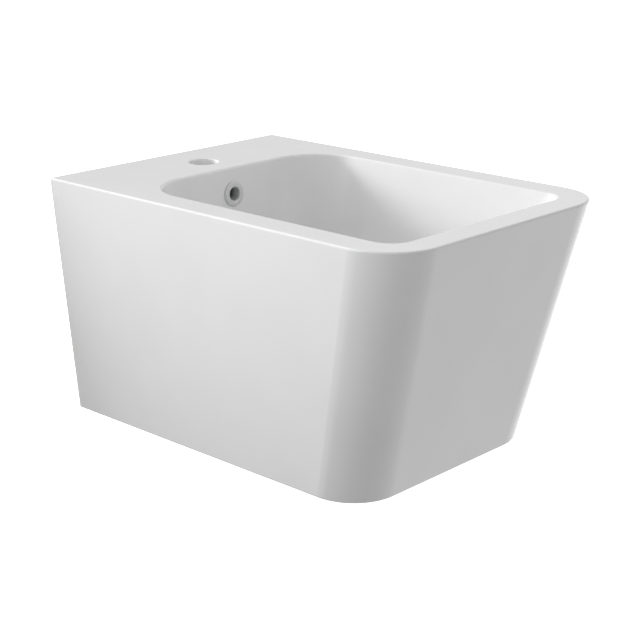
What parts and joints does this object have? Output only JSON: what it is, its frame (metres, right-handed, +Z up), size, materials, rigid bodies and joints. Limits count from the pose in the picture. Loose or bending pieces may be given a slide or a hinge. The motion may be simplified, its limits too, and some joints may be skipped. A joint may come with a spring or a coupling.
{
  "type": "wall-hung bidet",
  "caption": "Wall-hung bidet: tapered white ceramic body with a rounded rectangular bowl, tap hole, overflow ring, push-open waste, bottle trap and wall fixings.",
  "frame": {"origin": "on the wall plane, midway between the two wall studs", "axes": "+X to the right of someone facing the bidet, +Y into the wall along the studs, +Z up; the body reaches out along -Y"},
  "size_m": [0.3596, 0.5905, 0.3025],
  "materials": {
    "glazed_white": "smooth glossy white glaze, bare matt clay on the wall face and foot",
    "chrome_trim": "polished chrome plate",
    "raw_brass": "machined brass, slightly dulled",
    "black_rubber": "matt black rubber",
    "white_plastic": "moulded white plastic, satin",
    "grey_plastic": "moulded grey plastic, matt",
    "zinc_steel": "bright zinc-plated steel",
    "spring_steel": "bright drawn wire"
  },
  "bodies": {
    "body": {"ceramic_body": "glazed_white", "overflow_ring": "chrome_trim", "waste_body": "chrome_trim", "waste_gasket": "black_rubber", "waste_cone_washer": "black_rubber", "waste_friction_washer": "white_plastic", "waste_backnut": "raw_brass", "click_housing": "grey_plastic", "plug_spring": "spring_steel", "trap_inlet_washer": "black_rubber", "trap_inlet_nut": "white_plastic", "trap_body": "white_plastic", "trap_cup_seal": "black_rubber", "trap_outlet_washer": "black_rubber", "trap_outlet_nut": "white_plastic", "outlet_pipe": "white_plastic", "wall_rosette": "chrome_trim", "wall_studs": "zinc_steel", "stud_sleeves": "grey_plastic", "stud_washers": "zinc_steel", "stud_nuts": "zinc_steel", "nut_covers": "white_plastic"},
    "plug": {"plug_cap": "chrome_trim", "plug_seal": "black_rubber", "plug_stem": "raw_brass"},
    "cup": {"trap_cup": "white_plastic"}
  },
  "joints": [
    {"name": "plug_push", "type": "slide", "parent": "body", "child": "plug", "axis": [0, 0, 1], "range_m": [-0.009, 0], "stiffness_N_per_m": 400, "springref_m": 0.006, "deforming": ["plug_spring"]},
    {"name": "cup_unscrew", "type": "hinge", "parent": "body", "child": "cup", "pos_m": [0, -0.285, -0.2], "axis": [0, 0, -1], "range_deg": [0, 720]}
  ]
}
